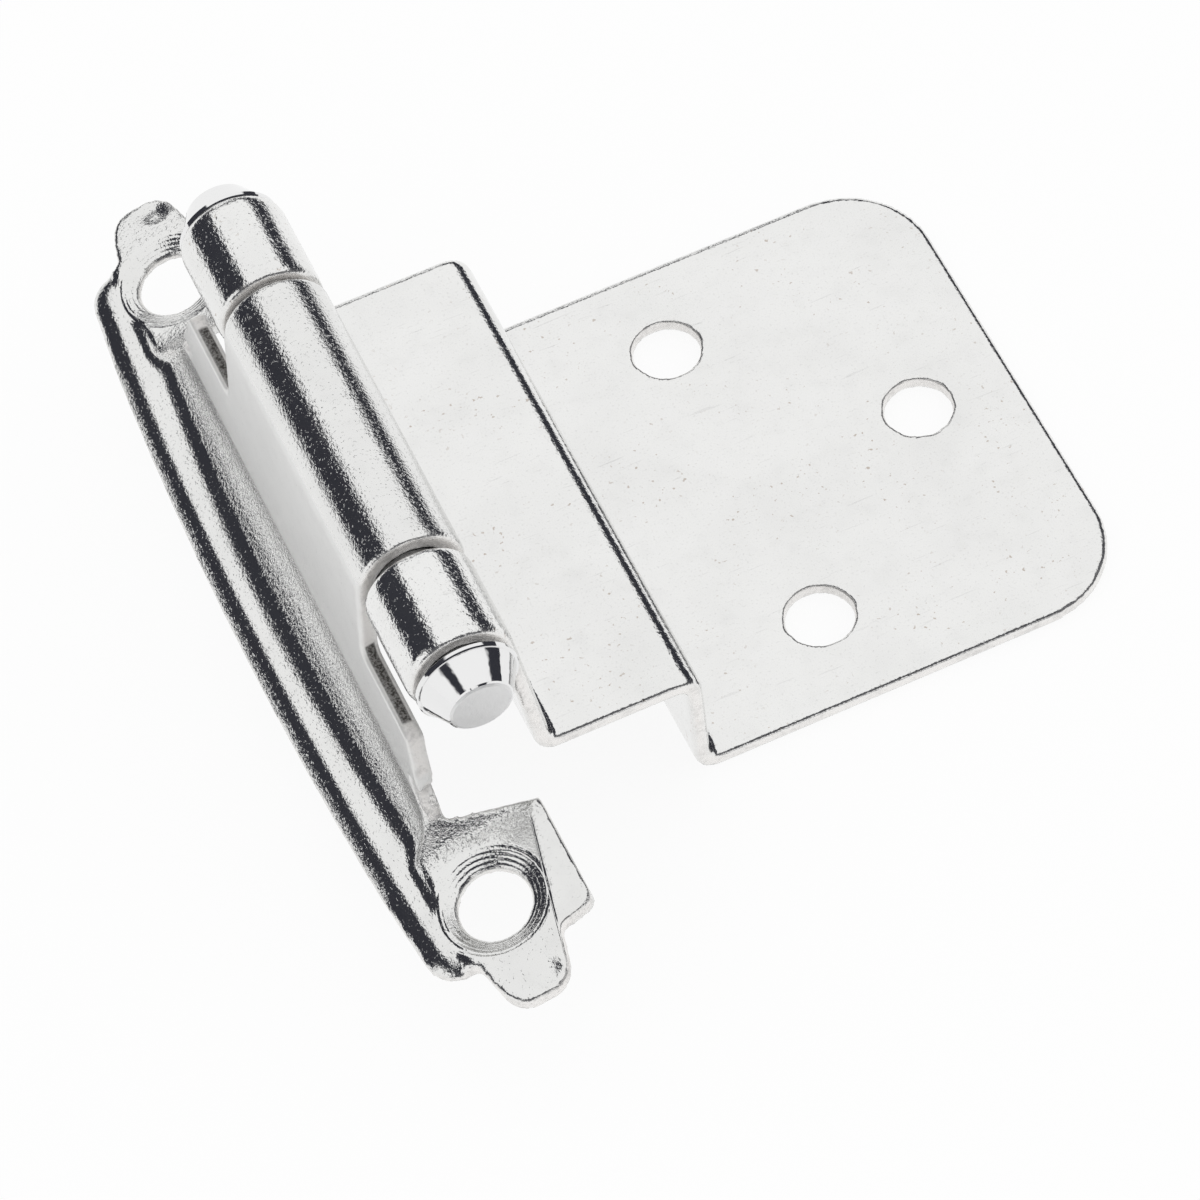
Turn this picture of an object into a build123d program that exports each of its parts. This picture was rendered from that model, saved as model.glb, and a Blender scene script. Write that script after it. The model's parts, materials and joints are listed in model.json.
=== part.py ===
from build123d import *
import math
import os

os.makedirs("parts", exist_ok=True)

# Inset cabinet hinge, all lengths in mm. The door leaf stands still. The pin runs along Y.
# Leaf sections are drawn about the pin's centre line, X towards the door plates, Z up.

# Sheet and overall sizes
SHEET = 1.2                 # thickness of both leaves
LEAF_WIDTH = 38.1           # 1-1/2 in, door leaf along the pin
INSET = 9.525               # 3/8 in, step between the lip plate and the screw plate

# Pin and knuckles
PIN_R = 2.38                # 3/16 in stock
PIN_CLEARANCE = 0.06        # pin to knuckle bore, on the radius
END_KNUCKLE = 7.2           # length of each of the door leaf's knuckles
KNUCKLE_GAP = 0.6           # mean axial gap beside the middle knuckle
KNUCKLE_SHIFT = 0.15        # middle knuckle rests this far towards the back
SEAM_SWEEP = 58.0           # degrees left open by each rolled knuckle at its seam
DOOR_EDGE = 0.25            # drawn edge of the blanked door leaf
KNUCKLE_EDGE = 0.2          # knuckle ends beside the gaps

# Turned tips on the pin's ends
SPIGOT_R = 1.4
SPIGOT_LENGTH = 1.7
PIN_PLAY = 0.55             # end play of the pin, which rests pushed to the front
TIP_FLANGE_R = 3.4
TIP_FLANGE = 0.38
TIP_BACK_EDGE = 0.08
TIP_CONE_R = 3.2
TIP_NOSE_R = 2.1
TIP_LENGTH = 2.4
TIP_EDGE = 0.2

# Door leaf
PIN_HEIGHT = 20.6           # pin centre above the screw plate's face
WALL_LEAN = 7.0             # degrees from upright
WALL_BEND_R = 1.6           # outside of the bend under the wall
STEP_BEND_R = 1.8           # outside of both bends of the step
STEP_FACE = 15.3            # pin centre to the step's face
PLATE_END = 45.92           # pin centre to the screw plate's free edge
PLATE_CORNER_R = 6.35
DOOR_HOLE_R = 2.3
SCREW_LINE = 26.04          # pin centre to the two-hole line
SCREW_PITCH = 24.3
THIRD_HOLE = 39.0           # pin centre to the single hole
WINDOW_DEPTH = 4.1          # pin centre down to the sill of the window in the wall
WINDOW_CORNER = 0.5

# Frame leaf, drawn closed: wing level, web slanting outwards from the middle knuckle
REST_ANGLE = 12.0           # degrees past closed at which the leaf rests
WEB_SLANT = 17.0            # degrees from upright
WING_TOP = -12.1            # wing's upper face from the pin centre
WEB_SHOULDER = 6.1          # neck's length down the web, from the knuckle
NECK_R = 0.7                # inside corner of neck and shoulder
WEB_INSET = 0.75            # web's shoulder inside each end of the door leaf
WEB_FLARE = 2.6             # spread of the web's end, from shoulder to ear
WEB_FOOT = 11.7             # down the web, where its end turns into the ear
TURN_EASE = 0.2             # share of the web's side and of the ear's inner edge in that turn
TURN_CUT = 0.06             # how far the turn's corner is cut back, as a share of that edge
FLARE_FOOT = -10.6          # where the flare meets the wing, half way along
FLARE_FOOT_BOW = 1.2        # how far that line bows in towards the ends
OUTER_BOW = 1.4             # bulge of the wing's outer edge, half way along
EAR_CENTRE = -5.45          # ear's middle line
EAR_HALF = 5.5
EAR_RAKE = 1.5              # fall of the ear's inner edge towards its free corner
EAR_REACH = 9.6             # from the inner edge's start to the ear's shoulder
EAR_CORNER_R = 2.2
TONGUE_CENTRE = -5.4
EAR_FREE_CORNER_R = 0.9
EAR_FREE_BACKSET = 0.5      # free corner short of the ear's shoulder
TONGUE_ROOT_STEP = 0.4      # tongue's root on that side beyond the shoulder
SHOULDER_WIDTH = 2.65       # shoulder on each side of the tongue
TONGUE_LENGTH = 4.0
TONGUE_TAPER = 0.9          # narrowing of each side of the tongue
TONGUE_ROUND = 1.9
TONGUE_ROOT_R = 0.6
PLATEAU_RISE = 0.6          # pressed-up middle of each ear, at its inner end
SHOULDER_RISE = 0.1         # the same at the ear's shoulder
PLATEAU_LEFT = -8.45
PLATEAU_RIGHT = -0.7        # its right edge at the inner end
PLATEAU_TAPER = 0.21        # how much that edge closes in per length
PLATEAU_RAMP = 0.75
RAMP_SAG = 0.08
TONGUE_DROP = 0.45          # tongue's tip below the wing
EAR_SLOPE = 20.0            # degrees, fall of the ear beyond the plateau
RIM_ROUND = 1.0             # outer border's upper edge
WING_HOLE_X = -5.55
WING_HOLE_REACH = 6.3       # from the inner edge's start
WING_HOLE_R = 2.4
COUNTERSINK_R = 3.6
COUNTERSINK_DEPTH = 0.6

# Derived
BORE_R = PIN_R + PIN_CLEARANCE
KNUCKLE_R = BORE_R + SHEET
HALF_WIDTH = LEAF_WIDTH / 2
WINDOW_HALF = HALF_WIDTH - END_KNUCKLE
MID_KNUCKLE = 2 * (WINDOW_HALF - KNUCKLE_GAP)
WEB_HALF = HALF_WIDTH - WEB_INSET
LIP_TOP = INSET - PIN_HEIGHT
EAR_LEFT = EAR_CENTRE - EAR_HALF
EAR_RIGHT = EAR_CENTRE + EAR_HALF
BOW_EDGE = EAR_LEFT - OUTER_BOW
EAR_INNER = WEB_HALF + WEB_FLARE
EAR_START = EAR_INNER + EAR_RAKE
EAR_SHOULDER = EAR_INNER + EAR_REACH
TONGUE_ROOT_HALF = EAR_HALF - SHOULDER_WIDTH
TONGUE_HALF = TONGUE_ROOT_HALF - TONGUE_TAPER
TONGUE_END = EAR_SHOULDER + TONGUE_LENGTH
WING_HOLE_Y = EAR_INNER + WING_HOLE_REACH
PLATEAU_TOP = WING_TOP + PLATEAU_RISE
PLATEAU_FALL = (PLATEAU_RISE - SHOULDER_RISE) / (EAR_SHOULDER - EAR_START)
HOLE_TOP = PLATEAU_TOP - PLATEAU_FALL * (WING_HOLE_Y - EAR_START)
PIN_PLACE = Location((-SCREW_LINE, 0, PIN_HEIGHT))
ALONG_PIN = Rotation(-90, 0, 0)
MARGIN = 3.0                # how far cutters pass the work


def section_plane(y):
    """Plane across the pin at y, its axes along X and Z."""
    return Plane(origin=(0, y, 0), x_dir=(1, 0, 0), z_dir=(0, -1, 0))


def on_line(normal_angle, offset, down):
    """Point at an offset from the pin centre, then down along the sheet tangent to the knuckle."""
    turn = math.radians(normal_angle)
    side = 1 if math.cos(turn) > 0 else -1
    across = Vector(math.cos(turn), math.sin(turn))
    along = Vector(math.sin(turn), -math.cos(turn)) * side
    return across * offset + along * down


def rolled_knuckle(normal_angle, length, y):
    """Knuckle rolled over the top from the side at normal_angle, with its seam underneath."""
    side = 1 if math.cos(math.radians(normal_angle)) > 0 else -1
    sweep = side * (360 - SEAM_SWEEP)
    with BuildPart() as knuckle:
        with BuildSketch(section_plane(y)):
            with BuildLine():
                outer = CenterArc((0, 0), KNUCKLE_R, normal_angle, sweep)
                inner = CenterArc((0, 0), BORE_R, normal_angle, sweep)
                Line(outer @ 0, inner @ 0)
                Line(outer @ 1, inner @ 1)
            make_face()
        extrude(amount=length / 2, both=True)
    return knuckle.part


def knuckle_rims(leaf):
    """Outer circular edges at the ends of a leaf's rolled knuckles."""
    arcs = leaf.edges().filter_by(GeomType.CIRCLE)
    return arcs.filter_by(lambda arc: abs(arc.radius - KNUCKLE_R) < PIN_CLEARANCE / 2)


def door_strip():
    """Wall, lip plate, step and screw plate, folded from one strip, without the knuckles."""
    wall_top = on_line(WALL_LEAN, KNUCKLE_R, 0)
    lean = math.radians(WALL_LEAN)
    corner_x = (KNUCKLE_R - LIP_TOP * math.sin(lean)) / math.cos(lean)
    step = STEP_FACE
    with BuildPart() as strip:
        with BuildSketch(section_plane(0)):
            with BuildLine() as face_line:
                Polyline(
                    (wall_top.X, wall_top.Y),
                    (corner_x, LIP_TOP),
                    (step, LIP_TOP),
                    (step, -PIN_HEIGHT),
                    (PLATE_END, -PIN_HEIGHT),
                )
                corners = face_line.vertices()
                fillet(corners.sort_by_distance((corner_x, LIP_TOP))[0], WALL_BEND_R - SHEET)
                fillet(corners.sort_by_distance((step, LIP_TOP))[0], STEP_BEND_R)
                fillet(corners.sort_by_distance((step, -PIN_HEIGHT))[0], STEP_BEND_R - SHEET)
                offset(amount=SHEET, side=Side.RIGHT)
            make_face()
        extrude(amount=HALF_WIDTH, both=True)
    return strip.part


def door_leaf():
    """Folded door leaf with its two end knuckles."""
    knuckle_y = HALF_WIDTH - END_KNUCKLE / 2
    with BuildPart() as leaf:
        add(door_strip())
        far_corners = leaf.edges().filter_by(Axis.Z).group_by(Axis.X)[-1]
        fillet(far_corners, PLATE_CORNER_R)
        with BuildSketch(Plane.XY.offset(-PIN_HEIGHT)):
            with Locations((SCREW_LINE, SCREW_PITCH / 2), (SCREW_LINE, -SCREW_PITCH / 2), (THIRD_HOLE, 0)):
                Circle(DOOR_HOLE_R)
        extrude(amount=-2 * SHEET, mode=Mode.SUBTRACT)
        with BuildSketch(Plane.YZ):
            with Locations((0, KNUCKLE_R - WINDOW_DEPTH)):
                sill = Rectangle(2 * WINDOW_HALF, 2 * KNUCKLE_R)
            fillet(sill.vertices().group_by(Axis.Y)[0], WINDOW_CORNER)
        extrude(amount=2 * KNUCKLE_R, mode=Mode.SUBTRACT)
        add(rolled_knuckle(WALL_LEAN, END_KNUCKLE, knuckle_y))
        add(rolled_knuckle(WALL_LEAN, END_KNUCKLE, -knuckle_y))
        rims = knuckle_rims(leaf)
        chamfer(rims.filter_by(lambda rim: abs(rim.center().Y) > knuckle_y), DOOR_EDGE)
        chamfer(knuckle_rims(leaf), KNUCKLE_EDGE)
    return leaf.part


def below(point, *headings):
    """Point on the sheet's lower face under a point of the upper one, which runs in the headings."""
    normals = [Vector(-heading.Y, heading.X).normalized() for heading in headings]
    middle = sum(normals, Vector(0, 0)).normalized()
    return point + middle * (SHEET / middle.dot(normals[0]))


def pressed_section(y, line):
    """Sheet cut across the pin at y, from its inner end down to the flat outer border."""
    end, crest, crease, bend, foot = line
    border = Vector(BOW_EDGE - MARGIN, WING_TOP)
    ramp = ThreePointArc(crease, bend, foot)
    inner = crest - end
    top = crease - crest
    outer = border - foot
    under_end = below(end, inner)
    under_crest = below(crest, inner, top)
    under_crease = below(crease, top, ramp % 0)
    under_foot = below(foot, ramp % 1, outer)
    under_border = below(border, outer)
    under_ramp = ThreePointArc(under_crease, below(ramp @ 0.5, ramp % 0.5), under_foot)
    outline = [
        Line(end, crest),
        Line(crest, crease),
        ramp,
        Line(foot, border),
        Line(border, under_border),
        Line(under_border, under_foot),
        under_ramp,
        Line(under_crease, under_crest),
        Line(under_crest, under_end),
        Line(under_end, end),
    ]
    return section_plane(y) * make_face(outline)


def web_line(y, start):
    """Points of the upper face along web and flare at y, from a distance down from the knuckle."""
    slant = math.radians(WEB_SLANT)
    foot = FLARE_FOOT + FLARE_FOOT_BOW * (y / HALF_WIDTH) ** 2
    radius = (WING_TOP * math.sin(slant) - foot * math.cos(slant) - KNUCKLE_R) / (1 - math.sin(slant))
    centre = Vector(foot, WING_TOP + radius)
    inward = Vector(math.cos(slant), -math.sin(slant))
    middle = (inward - Vector(0, 1)).normalized()
    end = on_line(180 - WEB_SLANT, KNUCKLE_R, start)
    crease = centre + inward * radius
    bend = centre + middle * radius
    return end, (end + crease) / 2, crease, bend, Vector(foot, WING_TOP)


def ear_line(y, high):
    """Points of the upper face across the ear at y, its plateau at the height high."""
    crest = Vector(PLATEAU_RIGHT - PLATEAU_TAPER * (y - EAR_START), high)
    free = EAR_RIGHT + 1
    end = Vector(free, high - (free - crest.X) * math.tan(math.radians(EAR_SLOPE)))
    crease = Vector(PLATEAU_LEFT, high)
    foot = Vector(PLATEAU_LEFT - PLATEAU_RAMP, WING_TOP)
    bend = (crease + foot) / 2 - Vector(0, RAMP_SAG)
    return end, crest, crease, bend, foot


def between(first, second, share):
    """Points a share of the way from one line to another."""
    return [a + (b - a) * share for a, b in zip(first, second)]


def pressed_end(side):
    """Spreading end of the web and the ear that it turns into."""
    web_end = web_line(EAR_INNER, WEB_FOOT)
    inner = ear_line(EAR_START, PLATEAU_TOP)
    eased = 1 - TURN_EASE
    side_end = WEB_SHOULDER + (WEB_FOOT - WEB_SHOULDER) * eased
    stations = [
        (WEB_HALF, web_line(WEB_HALF, WEB_SHOULDER)),
        (WEB_HALF + WEB_FLARE * eased, web_line(WEB_HALF + WEB_FLARE * eased, side_end)),
        (EAR_INNER, between(web_end, inner, TURN_CUT)),
        (EAR_INNER + EAR_RAKE * TURN_EASE, between(web_end, inner, TURN_EASE)),
        (EAR_START, inner),
        (EAR_SHOULDER, ear_line(EAR_SHOULDER, WING_TOP + SHOULDER_RISE)),
        (TONGUE_END + 1, ear_line(TONGUE_END + 1, WING_TOP - TONGUE_DROP)),
    ]
    return loft([pressed_section(side * y, line) for y, line in stations], ruled=True)


def frame_plan():
    """Outline of the closed frame leaf seen along Z, as a prism that holds every part of the leaf."""
    left = EAR_LEFT
    right = EAR_RIGHT
    root = TONGUE_ROOT_HALF
    free_corner = EAR_SHOULDER - EAR_FREE_BACKSET
    with BuildPart() as prism:
        with BuildSketch(Plane.XY.offset(WING_TOP - 3 * SHEET)) as plan:
            with BuildLine():
                ThreePointArc((left, -EAR_SHOULDER), (BOW_EDGE, 0), (left, EAR_SHOULDER))
                half = Polyline(
                    (left, EAR_SHOULDER),
                    (TONGUE_CENTRE - root, EAR_SHOULDER),
                    (TONGUE_CENTRE - TONGUE_HALF, TONGUE_END),
                    (TONGUE_CENTRE + TONGUE_HALF, TONGUE_END),
                    (TONGUE_CENTRE + root, EAR_SHOULDER + TONGUE_ROOT_STEP),
                    (right, free_corner),
                    (right, 0),
                )
                mirror(half, about=Plane.XZ)
            make_face()
            rounds = (
                (left, EAR_SHOULDER, EAR_CORNER_R),
                (right, free_corner, EAR_FREE_CORNER_R),
                (TONGUE_CENTRE - root, EAR_SHOULDER, TONGUE_ROOT_R),
                (TONGUE_CENTRE + root, EAR_SHOULDER + TONGUE_ROOT_STEP, TONGUE_ROOT_R),
                (TONGUE_CENTRE - TONGUE_HALF, TONGUE_END, TONGUE_ROUND),
                (TONGUE_CENTRE + TONGUE_HALF, TONGUE_END, TONGUE_ROUND),
            )
            for x, y, radius in rounds:
                for side in (1, -1):
                    spot = Vector(x, side * y)
                    corner = plan.vertices().sort_by(lambda v: (Vector(v.X, v.Y) - spot).length)[0]
                    fillet(corner, radius)
        extrude(amount=KNUCKLE_R - WING_TOP + 4 * SHEET)
    return prism.part


def quarter_round(x, y, radius, start, sweep):
    """Cutter that rounds the wing's upper edge along an arc of its outline."""
    with BuildPart() as cutter:
        with BuildSketch(Plane.XZ):
            with Locations((radius - RIM_ROUND, WING_TOP - RIM_ROUND)):
                Rectangle(RIM_ROUND + MARGIN, RIM_ROUND + MARGIN, align=Align.MIN)
                Circle(RIM_ROUND, mode=Mode.SUBTRACT)
        revolve(axis=Axis.Z, revolution_arc=sweep)
    return Pos(x, y, 0) * Rotation(0, 0, start) * cutter.part


def rim_cutters():
    """Rounding of the bowed outer edge and of the corners at its ends."""
    bow = (EAR_SHOULDER**2 + OUTER_BOW**2) / (2 * OUTER_BOW)
    reach = EAR_SHOULDER - EAR_CORNER_R
    lean = math.degrees(math.asin(reach / (bow - EAR_CORNER_R)))
    corner_x = BOW_EDGE + bow - (bow - EAR_CORNER_R) * math.cos(math.radians(lean))
    return [
        quarter_round(BOW_EDGE + bow, 0, bow, 180 - lean, 2 * lean),
        quarter_round(corner_x, reach, EAR_CORNER_R, 90, 90 - lean),
        quarter_round(corner_x, -reach, EAR_CORNER_R, 180 + lean, 90 - lean),
    ]


def neck_cutter(side):
    """Block that leaves only the neck of the web beside the middle knuckle."""
    neck_end = side * MID_KNUCKLE / 2 + KNUCKLE_SHIFT
    far_end = side * (WEB_HALF + MARGIN)
    block = Box(
        4 * KNUCKLE_R,
        abs(far_end - neck_end),
        WEB_SHOULDER + 2 * KNUCKLE_R,
        align=(Align.CENTER, Align.CENTER, Align.MIN),
    )
    inside = block.edges().filter_by(Axis.X).group_by(Axis.Z)[0].sort_by(Axis.Y)[0 if side > 0 else -1]
    block = fillet(inside, NECK_R)
    return Rotation(0, WEB_SLANT, 0) * (Pos(0, (neck_end + far_end) / 2, -WEB_SHOULDER) * block)


def wing_screw_hole(side):
    """Countersunk screw hole of one ear, as a cutter, the countersink square to the plateau."""
    flare = (COUNTERSINK_R - WING_HOLE_R) / COUNTERSINK_DEPTH
    low_r = WING_HOLE_R / 2
    depth = COUNTERSINK_DEPTH + (WING_HOLE_R - low_r) / flare
    sink = Cone(
        low_r,
        COUNTERSINK_R + MARGIN * flare,
        depth + MARGIN,
        align=(Align.CENTER, Align.CENTER, Align.MIN),
    )
    square = Rotation(-side * math.degrees(math.atan(PLATEAU_FALL)), 0, 0)
    place = Pos(WING_HOLE_X, side * WING_HOLE_Y, HOLE_TOP)
    return place * (Cylinder(WING_HOLE_R, 6 * SHEET) + square * Pos(0, 0, -depth) * sink)


def frame_leaf():
    """Pressed frame leaf with the middle knuckle, turned to its resting angle."""
    sheet = loft([pressed_section(y, web_line(y, 0)) for y in (-WEB_HALF, 0, WEB_HALF)])
    sheet = sheet - neck_cutter(1) - neck_cutter(-1)
    sheet = sheet + pressed_end(1) + pressed_end(-1)
    sheet = sheet & frame_plan()
    for cutter in rim_cutters():
        sheet = sheet - cutter
    sheet = sheet - wing_screw_hole(1) - wing_screw_hole(-1)
    sheet = sheet + rolled_knuckle(180 - WEB_SLANT, MID_KNUCKLE, KNUCKLE_SHIFT)
    sheet = sheet.solid().chamfer(KNUCKLE_EDGE, None, knuckle_rims(sheet))
    return Rotation(0, -REST_ANGLE, 0) * sheet


def hinge_pin():
    """Plain pin with a spigot at each end for the tips."""
    length = LEAF_WIDTH + PIN_PLAY
    body = Cylinder(PIN_R, length)
    spigots = Cylinder(SPIGOT_R, length + 2 * SPIGOT_LENGTH)
    return Pos(0, -PIN_PLAY / 2, 0) * ALONG_PIN * (body + spigots)


def pin_tip():
    """Turned conical tip, its flange on the XY plane and its nose up."""
    with BuildPart() as tip:
        Cylinder(TIP_FLANGE_R, TIP_FLANGE, align=(Align.CENTER, Align.CENTER, Align.MIN))
        chamfer(tip.edges(), TIP_BACK_EDGE)
        with Locations((0, 0, TIP_FLANGE)):
            Cone(
                TIP_CONE_R,
                TIP_NOSE_R,
                TIP_LENGTH - TIP_FLANGE,
                align=(Align.CENTER, Align.CENTER, Align.MIN),
            )
        chamfer(tip.edges().sort_by(Axis.Z)[-1], TIP_EDGE)
        Cylinder(
            SPIGOT_R,
            SPIGOT_LENGTH,
            align=(Align.CENTER, Align.CENTER, Align.MIN),
            mode=Mode.SUBTRACT,
        )
    return tip.part


nodes = {
    "door_leaf": door_leaf(),
    "frame_leaf": frame_leaf(),
    "hinge_pin": hinge_pin(),
    "pin_tip_front": Pos(0, -HALF_WIDTH - PIN_PLAY, 0) * Rotation(90, 0, 0) * pin_tip(),
    "pin_tip_back": Pos(0, HALF_WIDTH, 0) * Rotation(-90, 0, 0) * pin_tip(),
}
for name, shape in nodes.items():
    export_step(PIN_PLACE * shape, f"parts/{name}.step")
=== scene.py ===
"""Dresses the inset cabinet hinge: bright plated leaves, turned tips, plain pin and its studio."""

import json
import math

import bpy
import numpy
from mathutils import Matrix, Vector
from mathutils.bvhtree import BVHTree

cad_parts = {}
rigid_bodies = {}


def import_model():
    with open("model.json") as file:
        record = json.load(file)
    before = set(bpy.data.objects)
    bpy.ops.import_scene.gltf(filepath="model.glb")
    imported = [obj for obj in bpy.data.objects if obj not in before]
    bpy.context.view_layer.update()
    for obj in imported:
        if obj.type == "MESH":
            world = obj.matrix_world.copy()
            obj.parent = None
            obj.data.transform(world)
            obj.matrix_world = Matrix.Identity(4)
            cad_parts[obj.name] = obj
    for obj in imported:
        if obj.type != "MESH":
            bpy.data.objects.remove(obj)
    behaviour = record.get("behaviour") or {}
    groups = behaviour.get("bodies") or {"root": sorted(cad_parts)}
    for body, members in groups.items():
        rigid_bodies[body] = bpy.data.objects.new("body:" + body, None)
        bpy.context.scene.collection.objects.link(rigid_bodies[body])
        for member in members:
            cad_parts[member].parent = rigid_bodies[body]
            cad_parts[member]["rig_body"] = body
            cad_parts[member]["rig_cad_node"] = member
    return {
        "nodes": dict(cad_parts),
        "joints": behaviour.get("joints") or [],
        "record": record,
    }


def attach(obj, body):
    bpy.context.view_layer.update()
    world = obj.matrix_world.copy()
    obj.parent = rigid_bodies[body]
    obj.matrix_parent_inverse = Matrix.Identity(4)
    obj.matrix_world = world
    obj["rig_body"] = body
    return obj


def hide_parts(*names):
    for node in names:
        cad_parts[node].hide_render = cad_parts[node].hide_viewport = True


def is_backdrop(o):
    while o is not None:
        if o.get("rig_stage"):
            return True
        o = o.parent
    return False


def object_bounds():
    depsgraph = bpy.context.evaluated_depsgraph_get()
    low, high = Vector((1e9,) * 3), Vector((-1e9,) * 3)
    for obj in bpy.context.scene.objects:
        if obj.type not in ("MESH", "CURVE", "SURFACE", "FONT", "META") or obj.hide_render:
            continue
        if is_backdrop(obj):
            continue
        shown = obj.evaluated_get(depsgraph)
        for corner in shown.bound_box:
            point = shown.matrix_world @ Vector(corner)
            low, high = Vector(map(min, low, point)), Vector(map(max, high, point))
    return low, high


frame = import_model()

bl_info = {
    "name": "Inset Cabinet Hinge",
    "version": (1, 0, 0),
    "blender": (4, 5, 0),
    "location": "View3D > Sidebar > Hinge",
    "description": "Plates and photographs a free-swinging inset cabinet hinge",
    "category": "Object",
}

NODES = frame["nodes"]
RECORD = frame["record"]
PIN = Vector(frame["joints"][0]["pos_m"])
MM = 0.001
MICRON = 0.001 * MM
REST_ANGLE = math.radians(12.0)
SHEET = 1.2 * MM

# The frame leaf is described closed, about the pin's centre line. Along runs across the pin
# towards the door leaf, side runs along the pin, and high runs up out of the leaf
WING_TOP = -12.1 * MM
WING_BACK = WING_TOP - SHEET
EAR_CENTRE = -5.45 * MM
EAR_HALF = 5.5 * MM
EAR_SHOULDER = 30.5 * MM
OUTER_BOW = 1.4 * MM
CORNER_R = 2.2 * MM
RIM_ROUND = 1.0 * MM
CROWN_R = 2.3 * MM
CROWN_WIDTH = 1.5 * MM
EDGE_SPREAD = 0.15 * MM
SPREAD_FADE = 6 * MM

# Places in the materials, in plain mm. A pair is where a mark fades in or out, two pairs are both
HOLE = (-5.55, 27.2)
SINK_FADE = (3.65, 3.9)
SINK_MARKS = 22.0
BARREL_HIGH = (-6.5, -4.0)
BARREL_RADIUS = (3.8, 4.0)
WEB_HIGH = ((-9.8, -8.6), (1.4, 2.2))
WEB_ALONG = -2.0
WEB_SLANT = math.radians(17.0)
KNUCKLE_BORE = 2.44
STRIP_ACROSS = ((0.25, 0.35), (0.9, 1.0))
STRIP_HIGH = ((-5.57, -5.37), (-4.47, -4.27))
STRIP_SIDE = ((9.6, 9.9), (17.0, 17.3))
FLAT_HIGH = ((-12.9, -12.5), (-10.9, -10.7))
FLAT_SIDE = (22.0, 24.0)
CROWN_HIGH = ((-12.4, -12.25), (-11.9, -11.6))
EAR_HIGH = (-12.9, -12.5)
EAR_SIDE = (22.5, 24.0)
CREASE_START = (-1.09, 23.7)
CREASE_ACROSS = (0.977, 0.215)
CREASE_WIDTH = ((-0.06, 0.0), (0.0, 0.14))
LIFT = (0.0, 4.0)
DENT = (-4.4, 33.5)
DENT_RADIUS = (0.0, 1.5)
NEAR_TIP_END = -21.9
FAR_TIP_END = 21.35

# Share of its light that plate keeps under the darkest stain, a torn edge and a drawn wire
STAINED = 0.25
TORN = 0.76
DRAWN = 0.7

# Dark gaps and side card of the light tent, by the direction's y or by its lean
FRONT_GAP = ((-0.95, -0.91), (-0.62, -0.54))
BACK_GAP = ((0.84, 0.88), (0.91, 0.95))
CARD_Y = (0.05, 0.25)
CARD_LEAN = (math.radians(-58), math.radians(-50))
TENT_SOFTNESS = math.radians(3)


def class_colour(slot):
    """Base colour that the record gives to a material slot."""
    for finish in RECORD["materials"]:
        if finish["slot"] == slot:
            return tuple(finish["base_color"])
    raise ValueError(f"the record has no slot {slot}")


# Sizes and colours that a user may change


class HingeFinish(bpy.types.PropertyGroup):
    """Colours and textures of the plated steel."""

    plate: bpy.props.FloatVectorProperty(
        name="Plate", description="Colour of the bright plate on the door leaf", subtype="COLOR",
        size=3, min=0, max=1, default=class_colour("door_leaf_plate"),
    )
    wing: bpy.props.FloatVectorProperty(
        name="Pressed plate", description="Colour of the plate on the pressed frame leaf",
        subtype="COLOR", size=3, min=0, max=1, default=class_colour("frame_leaf_plate"),
    )
    tip: bpy.props.FloatVectorProperty(
        name="Tips", description="Colour of the turned tips", subtype="COLOR", size=3,
        min=0, max=1, default=class_colour("tip_plate"),
    )
    pin: bpy.props.FloatVectorProperty(
        name="Pin", description="Colour of the plain pin", subtype="COLOR", size=3,
        min=0, max=1, default=class_colour("pin_steel"),
    )
    sheared: bpy.props.FloatVectorProperty(
        name="Sheared edge", description="Colour of the sheet's cut edges", subtype="COLOR",
        size=3, min=0, max=1, default=(0.90, 0.88, 0.86),
    )
    rust: bpy.props.FloatVectorProperty(
        name="Rust", description="Colour of the rust dots on the door leaf", subtype="COLOR",
        size=3, min=0, max=1, default=(0.36, 0.27, 0.20),
    )
    # Near-black colour of the strip along the web's top cut edge
    grime: bpy.props.FloatVectorProperty(
        name="Dark strip", description="Colour of the blackish strip on the web's top edge",
        subtype="COLOR", size=3, min=0, max=1, default=(0.05, 0.045, 0.04),
    )
    roughness: bpy.props.FloatProperty(
        name="Roughness", description="Blur of the plate on the leaves", min=0, max=1,
        default=0.07,
    )
    tip_roughness: bpy.props.FloatProperty(
        name="Tip roughness", description="Blur of the plate on the tips", min=0, max=1,
        default=0.05,
    )
    pin_roughness: bpy.props.FloatProperty(
        name="Pin roughness", description="Blur of the drawn pin", min=0, max=1, default=0.28,
    )
    grain: bpy.props.FloatProperty(
        name="Grain", description="Width of the pressed steel's grain under the plate",
        min=0, default=0.22 * MM, unit="LENGTH", precision=5,
    )
    skin: bpy.props.FloatProperty(
        name="Skin", description="Mesh size of the pressed leaf's skin", min=0.0001,
        default=0.19 * MM, unit="LENGTH", precision=5,
    )
    blank: bpy.props.FloatProperty(
        name="Blank", description="Mesh size of the door leaf's skin", min=0.0001,
        default=0.25 * MM, unit="LENGTH", precision=5,
    )


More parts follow.
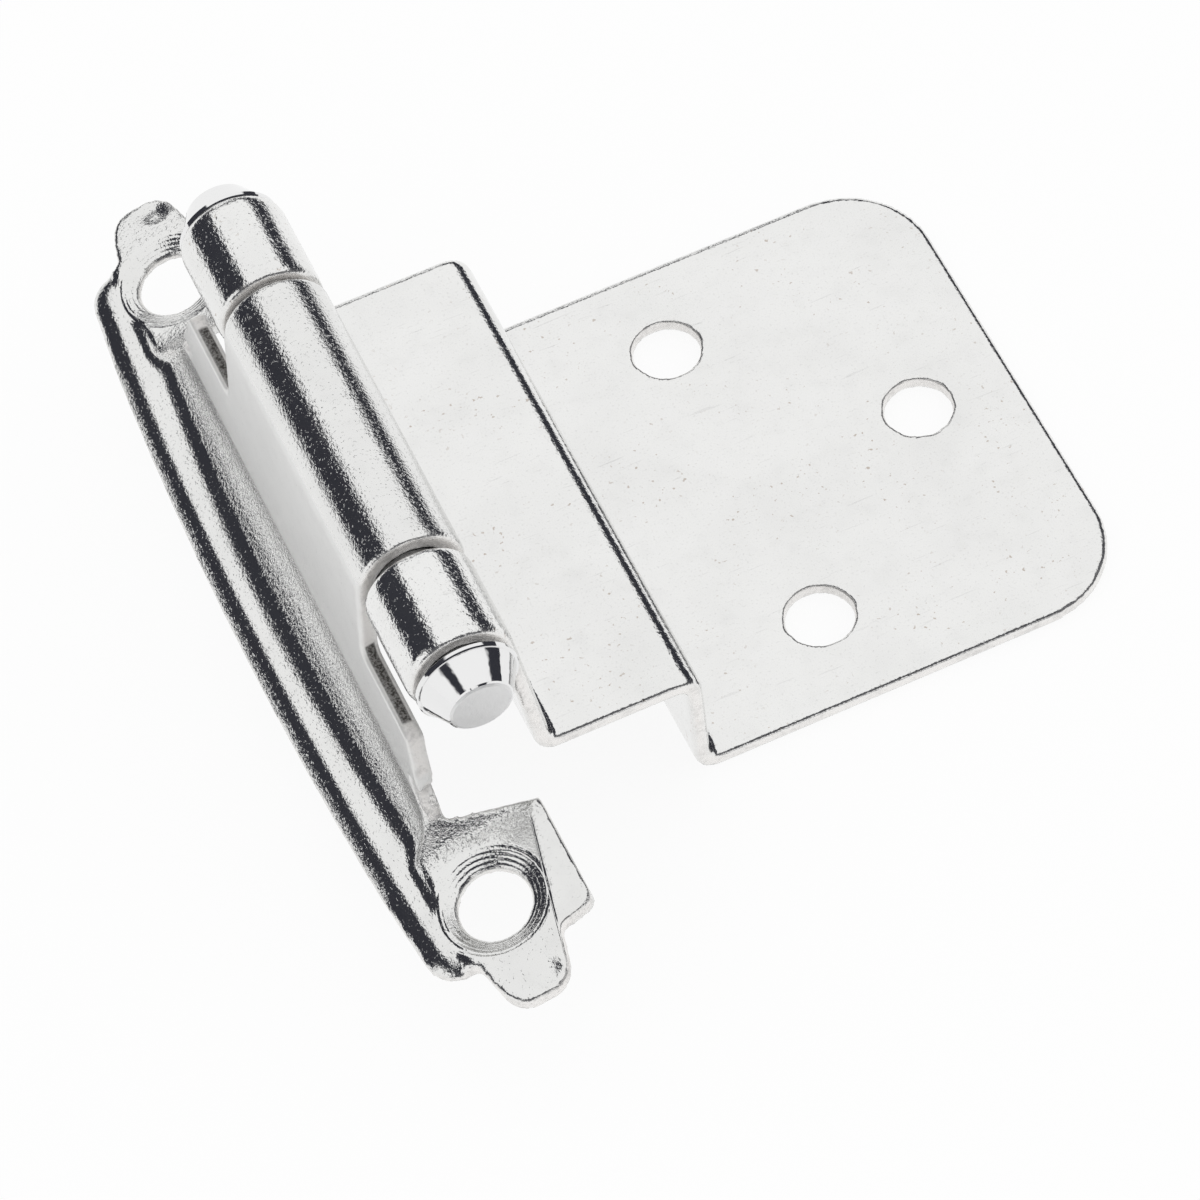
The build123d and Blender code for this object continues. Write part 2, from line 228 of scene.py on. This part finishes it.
class HingeStudio(bpy.types.PropertyGroup):
    """Camera, floor and light."""

    camera_place: bpy.props.FloatVectorProperty(
        name="Camera", description="Where the camera stands", subtype="TRANSLATION", size=3,
        unit="LENGTH", default=(-0.077874, -0.220564, 0.327043),
    )
    camera_right: bpy.props.FloatVectorProperty(
        name="Camera right", description="Direction of the picture's right side", size=3,
        subtype="DIRECTION", default=(0.910471, -0.404772, -0.084859),
    )
    camera_forward: bpy.props.FloatVectorProperty(
        name="Camera forward", description="Direction in which the camera looks", size=3,
        subtype="DIRECTION", default=(0.165007, 0.543679, -0.822913),
    )
    lens: bpy.props.FloatProperty(
        name="Lens", description="Focal length over a 36 mm wide picture", unit="CAMERA",
        min=1, default=182.14,
    )
    floor: bpy.props.FloatVectorProperty(
        name="Floor", description="Colour of the floor", subtype="COLOR", size=3,
        min=0, max=1, default=(0.9, 0.9, 0.9),
    )
    floor_size: bpy.props.FloatProperty(
        name="Floor size", description="Width of the square floor", unit="LENGTH", min=0.1,
        default=6.0,
    )
    floor_gap: bpy.props.FloatProperty(
        name="Floor gap", description="Height of the hinge's lowest point over the floor",
        unit="LENGTH", precision=5, min=0, default=0.02 * MM,
    )
    floor_glow: bpy.props.FloatProperty(
        name="Floor glow", description="Share of plain white that the camera sees in the floor",
        min=0, max=1, default=0.9,
    )
    wall: bpy.props.FloatVectorProperty(
        name="Dark wall", description="Colour of the dark walls beside the light tent",
        subtype="COLOR", size=3, min=0, max=1, default=(0.035, 0.036, 0.045),
    )
    left_edge: bpy.props.FloatProperty(
        name="Left edge of the tent", subtype="ANGLE", default=math.radians(-30.0),
        description="Where the overhead light ends on the pin's left, from straight up",
    )
    right_edge: bpy.props.FloatProperty(
        name="Right edge of the tent", subtype="ANGLE", default=math.radians(57.0),
        description="Where the overhead light ends on the pin's right, from straight up",
    )


# Shader wiring


class Wire:
    """A shader socket that adds up, multiplies and compares like a number."""

    def __init__(self, tree, socket):
        self.tree = tree
        self.socket = socket

    def node(self, kind, settings=None, **inputs):
        """Adds a node, sets it up, feeds its sockets and returns it."""
        made = self.tree.nodes.new(kind)
        for name, value in (settings or {}).items():
            setattr(made, name, value)
        for name, value in inputs.items():
            self.feed(made, name, value)
        return made

    def feed(self, made, name, value):
        """Gives a socket a link or a value. In a name, _ stands for a space and _2 for socket 2."""
        key = name.lstrip("_")
        socket = made.inputs[int(key)] if key.isdigit() else made.inputs[key.replace("_", " ")]
        if isinstance(value, Wire):
            self.tree.links.new(value.socket, socket)
        elif isinstance(value, bpy.types.NodeSocket):
            self.tree.links.new(value, socket)
        else:
            socket.default_value = value

    def out(self, kind, output=0, settings=None, **inputs):
        """Adds a node and returns one of its outputs as a wire."""
        return Wire(self.tree, self.node(kind, settings, **inputs).outputs[output])

    def parts(self):
        """The three parts of a vector."""
        split = self.node("ShaderNodeSeparateXYZ", Vector=self)
        return [Wire(self.tree, output) for output in split.outputs]

    def math(self, operation, *values, clamp=False):
        """Adds a Math node over values and wires."""
        feeds = {f"_{index}": value for index, value in enumerate(values)}
        settings = {"operation": operation, "use_clamp": clamp}
        return self.out("ShaderNodeMath", 0, settings, **feeds)

    def __add__(self, other):
        return self.math("ADD", self, other)

    __radd__ = __add__

    def __sub__(self, other):
        return self.math("SUBTRACT", self, other)

    def __rsub__(self, other):
        return self.math("SUBTRACT", other, self)

    def __mul__(self, other):
        return self.math("MULTIPLY", self, other)

    __rmul__ = __mul__

    def __gt__(self, other):
        return self.math("GREATER_THAN", self, other)

    def __lt__(self, other):
        return self.math("LESS_THAN", self, other)

    def __pow__(self, other):
        return self.math("POWER", self, other)

    def absolute(self):
        return self.math("ABSOLUTE", self)

    def sine(self):
        return self.math("SINE", self)

    def maximum(self, other):
        return self.math("MAXIMUM", self, other)

    def angle(self, up):
        """How far this wire leans from up, in radians."""
        return self.math("ARCTAN2", self, up)

    def clamped(self):
        """The same between 0 and 1."""
        return self.math("ADD", self, 0.0, clamp=True)

    def ramp(self, low, high):
        """0 below low, 1 above high, smooth between them."""
        settings = {"interpolation_type": "SMOOTHSTEP"}
        feeds = {"Value": self, "From_Min": low, "From_Max": high}
        return self.out("ShaderNodeMapRange", 0, settings, **feeds)

    def fall(self, low, high):
        """1 below low, 0 above high, smooth between them."""
        return 1.0 - self.ramp(low, high)

    def within(self, rise, fall):
        """1 between two fades, 0 outside them."""
        return self.ramp(*rise) * self.fall(*fall)

    def tint(self, colour_a, colour_b):
        """Colour that goes from a to b as this wire goes from 0 to 1."""
        return self.out(
            "ShaderNodeMix", 2, {"data_type": "RGBA"}, _0=self, _6=rgba(colour_a), _7=rgba(colour_b)
        )


def rgba(colour):
    """A colour with its alpha, or the wire that it already is."""
    if isinstance(colour, Wire):
        return colour
    return (*colour[:3], 1.0)


def darker(colour, share):
    """A colour that keeps only a share of its light."""
    return tuple(part * share for part in colour)


def distance(across, up):
    """How far a point lies from the origin of two wires."""
    return (across * across + up * up) ** 0.5


def new_material(name):
    """Empty material, its shader and a first wire, which is its object coordinates."""
    material = bpy.data.materials.new(name)
    material.use_nodes = True
    tree = material.node_tree
    tree.nodes.clear()
    shader = tree.nodes.new("ShaderNodeBsdfPrincipled")
    output = tree.nodes.new("ShaderNodeOutputMaterial")
    tree.links.new(shader.outputs[0], output.inputs[0])
    place = tree.nodes.new("ShaderNodeTexCoord").outputs["Object"]
    return material, shader, Wire(tree, place)


def noise(place, size, detail=2.0, roughness=0.5):
    """Noise whose blotches are about as wide as size."""
    return place.out(
        "ShaderNodeTexNoise", Vector=place, Scale=1.0 / size, Detail=detail, Roughness=roughness
    )


def dots(place, size, low, high, detail=1.0):
    """1 in scattered dots, which grow rarer with low and high, 0 between them."""
    return noise(place, size, detail).ramp(low, high)


def relief(place, shader, height):
    """Gives a shader relief from a height in metres."""
    bump = place.out("ShaderNodeBump", Strength=1.0, Distance=1.0, Height=height)
    place.feed(shader, "Normal", bump)


def cut_mask(place):
    """1 on the sheet's cut edges, 0 on its faces."""
    return place.out("ShaderNodeAttribute", 2, {"attribute_name": "sheared"})


def cut_shade(place, colour):
    """Colour of a cut edge: pale, with darker torn patches."""
    torn = noise(place, 0.3 * MM, 4.0, 0.65)
    patch = noise(place, 1.6 * MM, 3.0, 0.55)
    return (torn * 0.6 + patch * 0.6).ramp(0.42, 0.66).tint(darker(colour, TORN), colour)


def closed_place(place):
    """Object coordinates as along, side and high in mm, the frame leaf turned closed."""
    moved = place.out("ShaderNodeVectorMath", 0, {"operation": "SUBTRACT"}, _0=place, _1=tuple(PIN))
    turned = place.out("ShaderNodeMapping", Vector=moved, Rotation=(0.0, REST_ANGLE, 0.0))
    return [part * (1 / MM) for part in turned.parts()]


def turned_material(finish):
    """Bright plate over a turned surface, faintly clouded, with brushed end faces."""
    material, shader, place = new_material("tip_plate")
    side = place.parts()[1] * (1 / MM)
    face = ((side < NEAR_TIP_END) + (side > FAR_TIP_END)).clamped()
    cloud = noise(place, 1.7 * MM, 3.0, 0.55)
    stain = noise(place, 5 * MM, 3.0, 0.6)
    shade = 1.0 - stain.ramp(0.4, 0.8) * 0.04 - cloud.ramp(0.5, 0.8) * 0.03
    place.feed(shader, "Base Color", shade.tint(darker(finish.tip, STAINED), finish.tip))
    place.feed(shader, "Roughness", finish.tip_roughness + cloud * 0.04 + face * 0.4)
    shader.inputs["Metallic"].default_value = 1.0
    waves = noise(place, 1.1 * MM) * (30 * MICRON)
    brushed = noise(place, 0.35 * MM, 3.0, 0.6) * face * (20 * MICRON)
    relief(place, shader, waves + brushed)
    return material


def blanked_material(finish):
    """Bright plate over rolled strip: fine grain, scratches, rust dots and pale cut edges."""
    material, shader, place = new_material("door_plate")
    along, _, high = closed_place(place)
    barrel = distance(along, high).fall(*BARREL_RADIUS)
    cut = cut_mask(place)
    stain = noise(place, 9 * MM, 3.0, 0.6)
    cloud = noise(place, 1.7 * MM, 3.0, 0.55)
    specks = dots(place, 0.18 * MM, 0.60, 0.74)
    rust = dots(place, 0.4 * MM, 0.66, 0.72, 2.0) * noise(place, 6 * MM).ramp(0.42, 0.6)
    lines = place.out(
        "ShaderNodeMapping", Vector=place, Rotation=(0.3, 0.2, 0.6), Scale=(1.0, 14.0, 6.0)
    )
    scratch = dots(lines, 3.4 * MM, 0.68, 0.74, 2.0)

    shade = 1.0 - stain.ramp(0.35, 0.8) * 0.07 - cloud.ramp(0.45, 0.8) * 0.05
    shade = shade - specks * 0.12 - scratch * 0.10
    plate = shade.clamped().tint(darker(finish.plate, STAINED), finish.plate)
    plate = (rust * 0.6).tint(plate, finish.rust)
    place.feed(shader, "Base Color", cut.tint(plate, cut_shade(place, finish.sheared)))
    blur = finish.roughness + cloud * 0.06 + scratch * 0.08 + cut * 0.18
    place.feed(shader, "Roughness", blur)
    place.feed(shader, "Metallic", 1.0 - cut * 0.5)

    fine = noise(place, finish.grain * 1.3, 2.0, 0.6)
    pits = dots(place, 0.2 * MM, 0.62, 0.74) * barrel
    bumps = fine * (24 * MICRON + barrel * (10 * MICRON)) + pits * (8 * MICRON)
    bumps = bumps + noise(place, 4 * MM) * (10 * MICRON)
    bumps = bumps - scratch * (3 * MICRON) - rust * (4 * MICRON)
    relief(place, shader, bumps)
    return material


def torn_strip(along, side, high):
    """1 on the dirty torn strip of the web's top edge, 0 elsewhere."""
    across = high * math.sin(WEB_SLANT) - along * math.cos(WEB_SLANT) - KNUCKLE_BORE
    return across.within(*STRIP_ACROSS) * high.within(*STRIP_HIGH) * side.within(*STRIP_SIDE)


def ear_relief(along, side, high):
    """Height of the ears' marks: a crease, the lift past it and a dent near the tongue."""
    ear = side.ramp(*EAR_SIDE) * high.ramp(*EAR_HIGH)
    past = (along - CREASE_START[0]) * CREASE_ACROSS[0]
    past = past + (side - CREASE_START[1]) * CREASE_ACROSS[1]
    crease = past.within(*CREASE_WIDTH) * (40 * MICRON)
    lift = past.ramp(*LIFT) * (100 * MICRON)
    dent = distance(along - DENT[0], side - DENT[1]).fall(*DENT_RADIUS) * (200 * MICRON)
    return (lift - crease - dent) * ear


def pressed_material(finish):
    """Bright plate over grainy pressed steel, with torn edges and turned countersinks."""
    material, shader, place = new_material("frame_plate")
    along, side, high = closed_place(place)
    side = side.absolute()
    cut = cut_mask(place)
    stain = noise(place, 7 * MM, 3.0, 0.6)
    cloud = noise(place, 1.5 * MM, 3.0, 0.55)
    specks = dots(place, 0.22 * MM, 0.66, 0.76)
    torn = noise(place, 0.15 * MM, 4.0, 0.65)
    web = high.within(*WEB_HIGH) * (along < WEB_ALONG)
    strip = torn_strip(along, side, high)

    shade = 1.0 - stain.ramp(0.35, 0.8) * 0.06 - cloud.ramp(0.45, 0.8) * 0.05 - specks * 0.12
    plate = shade.clamped().tint(darker(finish.wing, STAINED), finish.wing)
    # The web's top cut edge turns near-black in a strip, patchy where the edge is torn
    mottled = strip * (0.72 + torn.ramp(0.42, 0.58) * 0.28)
    edge = mottled.tint(cut_shade(place, finish.sheared), finish.grime)
    place.feed(shader, "Base Color", cut.tint(plate, edge))
    place.feed(shader, "Roughness", finish.roughness + cloud * 0.06 + cut * 0.2 + web * 0.3)
    place.feed(shader, "Metallic", 1.0 - (web * 0.5).maximum(cut * 0.5))

    from_hole = distance(along - HOLE[0], side - HOLE[1])
    sink = from_hole.fall(*SINK_FADE) * (1.0 - cut)
    turning = (from_hole * SINK_MARKS + cloud * 2.0).sine() * sink
    barrel = high.ramp(*BARREL_HIGH)
    flat = high.within(*FLAT_HIGH) * side.ramp(*FLAT_SIDE)
    crown = high.within(*CROWN_HIGH) * (1.0 - flat)
    grainy = 1.0 - barrel * 0.62 - sink * 0.6 - web * 0.5 - flat * 0.75 - crown * 0.75
    fine = noise(place, finish.grain, 2.0, 0.6) * (85 * MICRON)
    coarse = noise(place, finish.grain * 3.0) * (30 * MICRON)
    pits = dots(place, 0.2 * MM, 0.60, 0.74) * (28 * MICRON)
    bumps = (fine + coarse + pits) * grainy + turning * (10 * MICRON)
    bumps = bumps + torn * (cut * (20 * MICRON) + strip * (30 * MICRON))
    relief(place, shader, bumps + ear_relief(along, side, high))
    return material


def pin_material(finish):
    """Drawn wire, faintly ringed along its length."""
    material, shader, place = new_material("drawn_wire")
    rings = place.out("ShaderNodeMapping", Vector=place, Scale=(1.0, 12.0, 1.0))
    draw = noise(rings, 2.0 * MM, 3.0, 0.6)
    shade = draw.ramp(0.3, 0.7).tint(darker(finish.pin, DRAWN), finish.pin)
    place.feed(shader, "Base Color", shade)
    place.feed(shader, "Roughness", finish.pin_roughness + draw * 0.14)
    shader.inputs["Metallic"].default_value = 1.0
    relief(place, shader, draw * (4 * MICRON))
    return material


# Making the pieces


def only(piece):
    """Selects one piece alone and makes it active."""
    bpy.ops.object.select_all(action="DESELECT")
    piece.select_set(True)
    bpy.context.view_layer.objects.active = piece


def copy_of(node, name):
    """Copy of a CAD node's mesh, welded, to be finished as a piece of its own."""
    only(NODES[node])
    bpy.ops.object.duplicate()
    piece = bpy.context.view_layer.objects.active
    piece.name = name
    piece.data.name = name
    piece.parent = None
    piece.matrix_world = Matrix.Identity(4)
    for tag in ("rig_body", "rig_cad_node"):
        if tag in piece:
            del piece[tag]
    piece.data.materials.clear()
    bpy.ops.object.mode_set(mode="EDIT")
    bpy.ops.mesh.select_all(action="SELECT")
    bpy.ops.mesh.remove_doubles(threshold=0.1 * MICRON)
    bpy.ops.object.mode_set(mode="OBJECT")
    if piece.data.has_custom_normals:
        bpy.ops.mesh.customdata_custom_splitnormals_clear()
    return piece


def apply_modifier(piece, kind, name, **settings):
    """Adds a modifier, sets it up and applies it."""
    only(piece)
    modifier = piece.modifiers.new(name, kind)
    for key, value in settings.items():
        setattr(modifier, key, value)
    bpy.ops.object.modifier_apply(modifier=modifier.name)


def even_skin(piece, size, passes):
    """Rebuilds the mesh as an even skin and softens its edges."""
    apply_modifier(piece, "REMESH", "skin", mode="VOXEL", voxel_size=size, adaptivity=0.0)
    apply_modifier(piece, "SMOOTH", "soften", factor=0.5, iterations=passes)
    only(piece)
    bpy.ops.object.shade_smooth()


def mark_sheared(piece, node):
    """Marks vertices on cut edges, where the steel behind is deeper than the sheet is thick."""
    source = NODES[node].data
    solid = BVHTree.FromPolygons(
        [vertex.co for vertex in source.vertices], [face.vertices for face in source.polygons]
    )
    inside = 0.05 * MM
    farthest = 60 * MM
    mesh = piece.data
    depths = numpy.zeros(len(mesh.vertices))
    for vertex in mesh.vertices:
        start = vertex.co - vertex.normal * inside
        _, _, _, depth = solid.ray_cast(start, -vertex.normal, farthest)
        depths[vertex.index] = depth or 0.0
    cut = numpy.clip((depths - 1.35 * SHEET) / (0.35 * SHEET), 0.0, 1.0)
    ends = numpy.array([edge.vertices[:] for edge in mesh.edges])
    count = numpy.bincount(ends.ravel(), minlength=len(cut))
    for _ in range(2):
        total = numpy.bincount(ends[:, 0], cut[ends[:, 1]], len(cut))
        total += numpy.bincount(ends[:, 1], cut[ends[:, 0]], len(cut))
        cut = (cut + total) / (1 + count)
    layer = mesh.attributes.new("sheared", "FLOAT", "POINT")
    layer.data.foreach_set("value", cut.astype(numpy.float32))


def closed_points(mesh):
    """Vertices as along, side and high, the frame leaf turned closed."""
    flat = numpy.zeros(3 * len(mesh.vertices), dtype=numpy.float32)
    mesh.vertices.foreach_get("co", flat)
    place = flat.reshape(-1, 3).astype(float) - numpy.array(PIN)
    cos, sin = math.cos(REST_ANGLE), math.sin(REST_ANGLE)
    along = place[:, 0] * cos + place[:, 2] * sin
    high = place[:, 2] * cos - place[:, 0] * sin
    return along, place[:, 1], high


def set_closed_points(mesh, along, side, high):
    """Writes vertices back that closed_points read."""
    cos, sin = math.cos(REST_ANGLE), math.sin(REST_ANGLE)
    x = along * cos - high * sin
    z = along * sin + high * cos
    place = numpy.stack((x, side, z), 1) + numpy.array(PIN)
    mesh.vertices.foreach_set("co", place.astype(numpy.float32).ravel())
    mesh.update()


def crown_border(piece):
    """Crowns the wing's outer border and spreads its edge by what the softening took off."""
    along, side, high = closed_points(piece.data)
    away = numpy.abs(side)
    edge = EAR_CENTRE - EAR_HALF - OUTER_BOW
    bow = (EAR_SHOULDER**2 + OUTER_BOW**2) / (2 * OUTER_BOW)
    reach = EAR_SHOULDER - CORNER_R
    corner = edge + bow - math.sqrt((bow - CORNER_R) ** 2 - reach**2)

    # How far each vertex lies inside the bowed edge, or inside the rounded corner past it
    inset = bow - numpy.hypot(along - edge - bow, away)
    past = away > reach
    rounded = CORNER_R - numpy.hypot(along - corner, away - reach)
    inset[past] = numpy.where(along[past] < corner, rounded[past], CROWN_WIDTH)
    inset = numpy.maximum(inset, 0.0)

    # The top's height there as it is rounded now, and as it is crowned
    inner = numpy.minimum(inset, RIM_ROUND)
    was = WING_TOP - RIM_ROUND + numpy.sqrt(RIM_ROUND**2 - (RIM_ROUND - inner) ** 2)
    outer = numpy.maximum(CROWN_WIDTH - inset, 0.0)
    now = WING_TOP - CROWN_R + numpy.sqrt(CROWN_R**2 - outer**2)
    share = (now - WING_BACK) / (was - WING_BACK)

    border = (inset < CROWN_WIDTH) & (along < corner + CORNER_R)
    high[border] = WING_BACK + (high[border] - WING_BACK) * share[border]
    middle = numpy.clip((reach - away) / SPREAD_FADE, 0.0, 1.0)
    along[border] -= EDGE_SPREAD * middle[border] * (1 - inset[border] / CROWN_WIDTH)
    set_closed_points(piece.data, along, side, high)


class HINGE_OT_door_leaf(bpy.types.Operator):
    """Plates the folded door leaf and rounds its edges"""

    bl_idname = "hinge.door_leaf"
    bl_label = "Door Leaf"

    def execute(self, context):
        finish = context.scene.hinge_finish
        piece = copy_of("door_leaf", "door_plate")
        piece.data.materials.append(blanked_material(finish))
        even_skin(piece, finish.blank, passes=8)
        mark_sheared(piece, "door_leaf")
        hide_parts("door_leaf")
        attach(piece, "door_side")
        return {"FINISHED"}


class HINGE_OT_frame_leaf(bpy.types.Operator):
    """Plates the pressed frame leaf, whose grain shows through, and crowns its border"""

    bl_idname = "hinge.frame_leaf"
    bl_label = "Frame Leaf"

    def execute(self, context):
        finish = context.scene.hinge_finish
        piece = copy_of("frame_leaf", "frame_plate")
        piece.data.materials.append(pressed_material(finish))
        even_skin(piece, finish.skin, passes=5)
        mark_sheared(piece, "frame_leaf")
        crown_border(piece)
        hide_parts("frame_leaf")
        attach(piece, "frame_side")
        return {"FINISHED"}


class HINGE_OT_pin_and_tips(bpy.types.Operator):
    """Finishes the drawn pin and plates the two turned tips"""

    bl_idname = "hinge.pin_and_tips"
    bl_label = "Pin and Tips"

    def execute(self, context):
        finish = context.scene.hinge_finish
        wire = pin_material(finish)
        bright = turned_material(finish)
        coats = {"hinge_pin": wire, "pin_tip_front": bright, "pin_tip_back": bright}
        for node, coat in coats.items():
            NODES[node].data.materials.clear()
            NODES[node].data.materials.append(coat)
        return {"FINISHED"}


class HINGE_OT_studio(bpy.types.Operator):
    """Lays the pale floor, hangs the light tent and sets up the camera"""

    bl_idname = "hinge.studio"
    bl_label = "Studio"

    def execute(self, context):
        studio = context.scene.hinge_studio
        self.lay_floor(studio)
        self.light_world(context.scene, studio)
        self.place_camera(context.scene, studio)
        context.scene.view_settings.view_transform = "Standard"
        return {"FINISHED"}

    def lay_floor(self, studio):
        """Lays a floor that looks white to the camera and keeps the hinge's shadow."""
        low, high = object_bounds()
        middle = (low + high) / 2
        bpy.ops.mesh.primitive_plane_add(
            size=studio.floor_size, location=(middle.x, middle.y, low.z - studio.floor_gap)
        )
        floor = bpy.context.view_layer.objects.active
        floor.name = "floor"
        bpy.ops.object.transform_apply(location=True, rotation=True, scale=True)
        material, shader, place = new_material("floor")
        shader.inputs["Base Color"].default_value = rgba(studio.floor)
        shader.inputs["Roughness"].default_value = 0.9
        path = place.node("ShaderNodeLightPath")
        camera = Wire(place.tree, path.outputs["Is Camera Ray"])
        glossy = Wire(place.tree, path.outputs["Is Glossy Ray"])
        clear = Wire(place.tree, path.outputs["Is Transmission Ray"])
        seen = (camera + glossy + clear).clamped() * studio.floor_glow
        glow = place.node("ShaderNodeEmission", Color=(1, 1, 1, 1), Strength=1.0)
        blend = place.node(
            "ShaderNodeMixShader", _0=seen, _1=shader.outputs[0], _2=glow.outputs[0]
        )
        output = next(node for node in place.tree.nodes if node.type == "OUTPUT_MATERIAL")
        place.tree.links.new(blend.outputs[0], output.inputs[0])
        floor.data.materials.append(material)
        floor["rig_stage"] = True

    def light_world(self, scene, studio):
        """Hangs an even white light that bright plate sees as a tent between dark walls."""
        world = bpy.data.worlds.new("tent")
        scene.world = world
        world.use_nodes = True
        tree = world.node_tree
        tree.nodes.clear()
        first = Wire(tree, tree.nodes.new("ShaderNodeTexCoord").outputs["Generated"])
        x, y, z = first.parts()
        lean = x.angle(z)
        left = lean.ramp(studio.left_edge - TENT_SOFTNESS, studio.left_edge + TENT_SOFTNESS)
        right = lean.fall(studio.right_edge - TENT_SOFTNESS, studio.right_edge + TENT_SOFTNESS)
        front = 1.0 - y.within(*FRONT_GAP)
        back = 1.0 - y.within(*BACK_GAP)
        card = y.fall(*CARD_Y) * lean.fall(*CARD_LEAN)
        sides = (left * right + card * front).clamped()
        below = z < 0.0
        tent = (sides * front * back + below).clamped()
        glossy = first.out("ShaderNodeLightPath", "Is Glossy Ray")
        bright = (1.0 - glossy * (1.0 - tent)).clamped()
        sky = bright.tint(studio.wall, (1.0, 1.0, 1.0))
        backdrop = first.node("ShaderNodeBackground", Color=sky, Strength=1.0)
        output = tree.nodes.new("ShaderNodeOutputWorld")
        tree.links.new(backdrop.outputs[0], output.inputs[0])

    def place_camera(self, scene, studio):
        """Stands the camera where the photograph was taken from."""
        right = Vector(studio.camera_right).normalized()
        back = -Vector(studio.camera_forward).normalized()
        up = back.cross(right)
        camera = bpy.data.cameras.new("camera")
        camera.lens = studio.lens
        camera.sensor_width = 36.0
        camera.clip_start = 10 * MM
        camera.clip_end = 20.0
        stand = bpy.data.objects.new("camera", camera)
        scene.collection.objects.link(stand)
        turn = Matrix((right, up, back)).transposed().to_4x4()
        stand.matrix_world = Matrix.Translation(Vector(studio.camera_place)) @ turn
        scene.camera = stand


class HINGE_PT_panel(bpy.types.Panel):
    """Lists the hinge's sizes, colours and steps"""

    bl_idname = "HINGE_PT_panel"
    bl_label = "Inset Cabinet Hinge"
    bl_space_type = "VIEW_3D"
    bl_region_type = "UI"
    bl_category = "Hinge"

    def draw(self, context):
        column = self.layout.column()
        for group in (context.scene.hinge_finish, context.scene.hinge_studio):
            for name in group.__annotations__:
                column.prop(group, name)
        for step in STEPS:
            column.operator(step.bl_idname)


STEPS = (HINGE_OT_door_leaf, HINGE_OT_frame_leaf, HINGE_OT_pin_and_tips, HINGE_OT_studio)
CLASSES = (HingeFinish, HingeStudio, *STEPS, HINGE_PT_panel)


def register():
    for cls in CLASSES:
        bpy.utils.register_class(cls)
    bpy.types.Scene.hinge_finish = bpy.props.PointerProperty(type=HingeFinish)
    bpy.types.Scene.hinge_studio = bpy.props.PointerProperty(type=HingeStudio)


def unregister():
    del bpy.types.Scene.hinge_studio
    del bpy.types.Scene.hinge_finish
    for cls in reversed(CLASSES):
        bpy.utils.unregister_class(cls)


def main():
    register()
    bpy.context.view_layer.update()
    bpy.ops.hinge.door_leaf()
    bpy.ops.hinge.frame_leaf()
    bpy.ops.hinge.pin_and_tips()
    bpy.ops.hinge.studio()
    bpy.context.view_layer.update()


if __name__ == "__main__":
    main()
